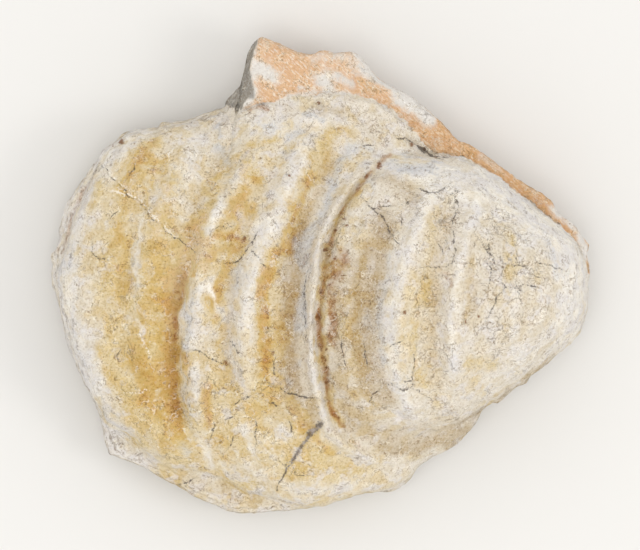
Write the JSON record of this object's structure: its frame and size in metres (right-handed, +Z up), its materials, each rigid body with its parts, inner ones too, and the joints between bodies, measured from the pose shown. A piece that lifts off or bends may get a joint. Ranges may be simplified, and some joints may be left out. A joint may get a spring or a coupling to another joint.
{
  "type": "fossil bivalve",
  "caption": "Fossil clam turned to pale limestone, with broad concentric folds, a high beak end, a flat broken hinge wing and a low ledge round its margin; rests on its flat back.",
  "frame": {"origin": "below the middle of the stone's box, on the flat of its back that it rests on", "axes": "+Z up out of the folded valve, +X towards the beak along the longest extent, +Y towards the broken hinge wing"},
  "size_m": [0.1078, 0.095, 0.0432],
  "materials": {
    "limestone": "matte, weathered, chalky"
  },
  "bodies": {
    "root": {"fossil_bivalve": "limestone"}
  },
  "joints": []
}
